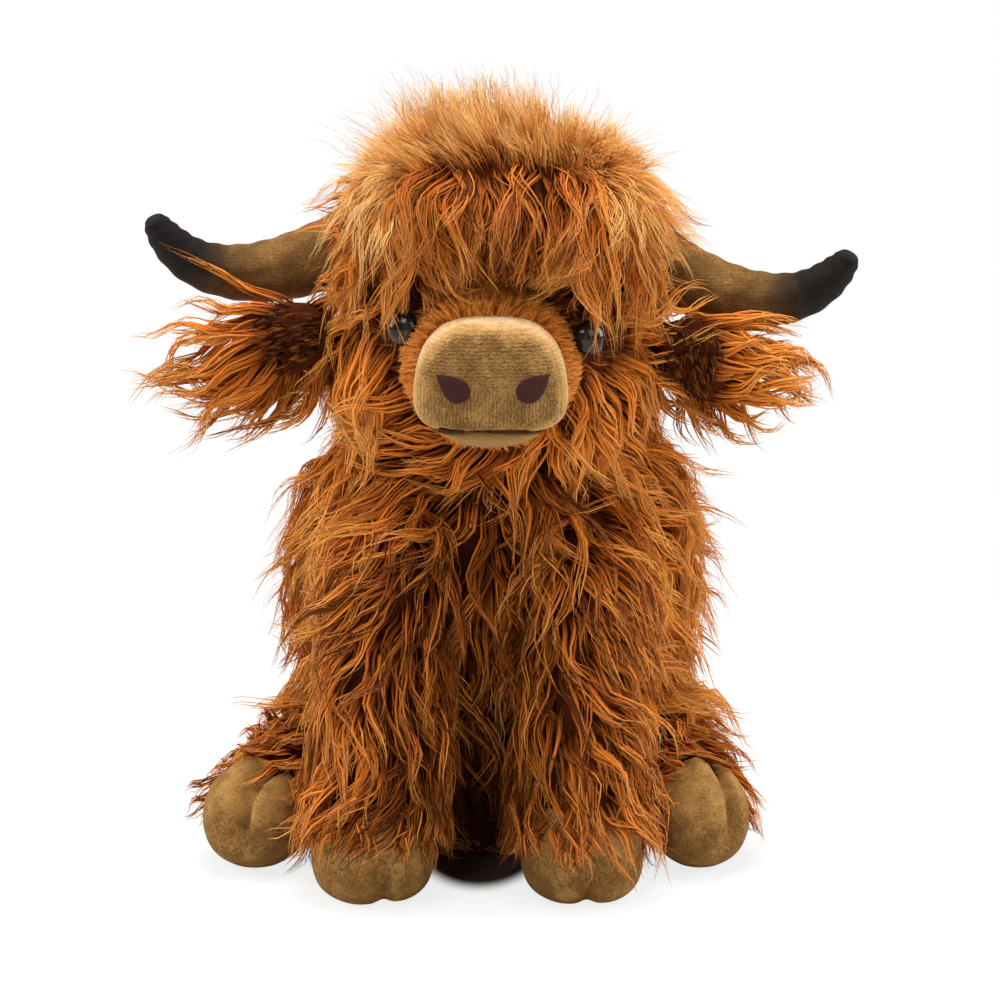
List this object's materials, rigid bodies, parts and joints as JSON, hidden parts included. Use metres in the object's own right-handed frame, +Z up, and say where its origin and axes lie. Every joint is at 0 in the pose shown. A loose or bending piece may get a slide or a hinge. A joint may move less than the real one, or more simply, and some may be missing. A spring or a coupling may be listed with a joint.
{
  "type": "plush highland cow toy",
  "caption": "Sitting plush long-haired cow with velour horns, hooves and muzzle, a head that turns, and legs, ears and a tail that move on their seams.",
  "frame": {"origin": "on the floor, under the seat panel, between the four legs and the tail", "axes": "+Z up, the cow faces -Y, +X towards the cow's own left side"},
  "size_m": [0.2676, 0.2217, 0.2827],
  "materials": {
    "long_fur": "long wavy pile, matte",
    "forelock_fur": "long brushed pile, matte",
    "short_pile": "short pile, matte",
    "velour": "ribbed velour, matte",
    "pale_velour": "velour, matte",
    "dark_thread": "satin stitch",
    "glossy_eye": "polished",
    "washer_plastic": "moulded",
    "fibre_fill": "loose fibre",
    "pellet_bag_cloth": "plain cloth"
  },
  "bodies": {
    "torso": {"body_cover": "long_fur", "body_stuffing": "fibre_fill", "pellet_bag": "pellet_bag_cloth", "base_panel": "velour"},
    "head": {"head_cover": "long_fur", "head_stuffing": "fibre_fill", "forelock": "forelock_fur", "face_panel": "short_pile", "muzzle": "velour", "muzzle_stuffing": "fibre_fill", "lower_lip": "pale_velour", "mouth_seam": "dark_thread", "nostril_right": "dark_thread", "nostril_left": "dark_thread", "eye_right": "glossy_eye", "eye_left": "glossy_eye", "eye_washer_right": "washer_plastic", "eye_washer_left": "washer_plastic", "horn_right": "velour", "horn_left": "velour", "horn_stuffing_right": "fibre_fill", "horn_stuffing_left": "fibre_fill"},
    "ear_right": {"ear_right": "long_fur", "ear_lining_right": "short_pile"},
    "ear_left": {"ear_left": "long_fur", "ear_lining_left": "short_pile"},
    "front_leg_right": {"front_leg_right": "long_fur", "front_leg_stuffing_right": "fibre_fill", "front_hoof_right": "velour"},
    "front_leg_left": {"front_leg_left": "long_fur", "front_leg_stuffing_left": "fibre_fill", "front_hoof_left": "velour"},
    "hind_leg_right": {"hind_leg_right": "long_fur", "hind_leg_stuffing_right": "fibre_fill", "hind_hoof_right": "velour"},
    "hind_leg_left": {"hind_leg_left": "long_fur", "hind_leg_stuffing_left": "fibre_fill", "hind_hoof_left": "velour"},
    "tail": {"tail": "long_fur", "tail_tuft": "long_fur"}
  },
  "joints": [
    {"name": "head_turn", "type": "hinge", "parent": "torso", "child": "head", "pos_m": [0.003, -0.012, 0.158], "axis": [0, 0, 1], "range_deg": [-20, 20], "stiffness_Nm_per_rad": 0.3},
    {"name": "ear_right_flap", "type": "hinge", "parent": "head", "child": "ear_right", "pos_m": [-0.06196, -0.02202, 0.20038], "axis": [0, -1, 0], "range_deg": [-5, 18], "stiffness_Nm_per_rad": 0.05},
    {"name": "ear_left_flap", "type": "hinge", "parent": "head", "child": "ear_left", "pos_m": [0.06598, -0.02202, 0.19367], "axis": [0, 1, 0], "range_deg": [-5, 18], "stiffness_Nm_per_rad": 0.05},
    {"name": "front_leg_right_swing", "type": "hinge", "parent": "torso", "child": "front_leg_right", "pos_m": [-0.03581, -0.04034, 0.117], "axis": [-1, 0, 0], "range_deg": [0, 30], "stiffness_Nm_per_rad": 0.3},
    {"name": "front_leg_left_swing", "type": "hinge", "parent": "torso", "child": "front_leg_left", "pos_m": [0.03531, -0.04034, 0.117], "axis": [-1, 0, 0], "range_deg": [0, 30], "stiffness_Nm_per_rad": 0.3},
    {"name": "hind_leg_right_splay", "type": "hinge", "parent": "torso", "child": "hind_leg_right", "pos_m": [-0.05762, 0.00545, 0.034], "axis": [0, 0, -1], "range_deg": [0, 30], "stiffness_Nm_per_rad": 0.3},
    {"name": "hind_leg_left_splay", "type": "hinge", "parent": "torso", "child": "hind_leg_left", "pos_m": [0.06162, 0.00545, 0.034], "axis": [0, 0, 1], "range_deg": [0, 30], "stiffness_Nm_per_rad": 0.3},
    {"name": "tail_swing", "type": "hinge", "parent": "torso", "child": "tail", "pos_m": [0.002, 0.06931, 0.034], "axis": [0, 0, 1], "range_deg": [-30, 30], "stiffness_Nm_per_rad": 0.03}
  ]
}
